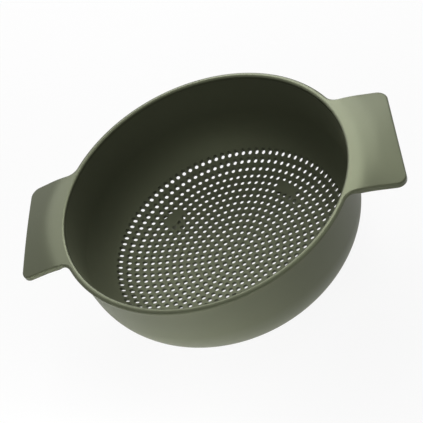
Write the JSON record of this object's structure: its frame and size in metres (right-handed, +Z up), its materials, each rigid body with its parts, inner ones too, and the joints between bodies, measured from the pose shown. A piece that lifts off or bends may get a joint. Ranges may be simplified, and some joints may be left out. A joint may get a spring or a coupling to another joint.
{
  "type": "colander",
  "caption": "Deep round plastic colander with a dished, finely perforated base, short feet and two broad flat handles that continue its rim.",
  "frame": {"origin": "on the table, in the middle between the four feet, under the centre of the bowl", "axes": "+Z up through the bowl's axis, +X towards one handle, +Y across the handles"},
  "size_m": [0.2962, 0.2342, 0.1027],
  "materials": {
    "bowl_plastic": "satin moulded polypropylene, olive green",
    "base_plastic": "satin moulded polypropylene, olive green",
    "foot_plastic": "satin moulded polypropylene, olive green"
  },
  "bodies": {
    "root": {"bowl": "bowl_plastic", "strainer_base": "base_plastic", "foot_rear_right": "foot_plastic", "foot_rear_left": "foot_plastic", "foot_front_left": "foot_plastic", "foot_front_right": "foot_plastic"}
  },
  "joints": []
}
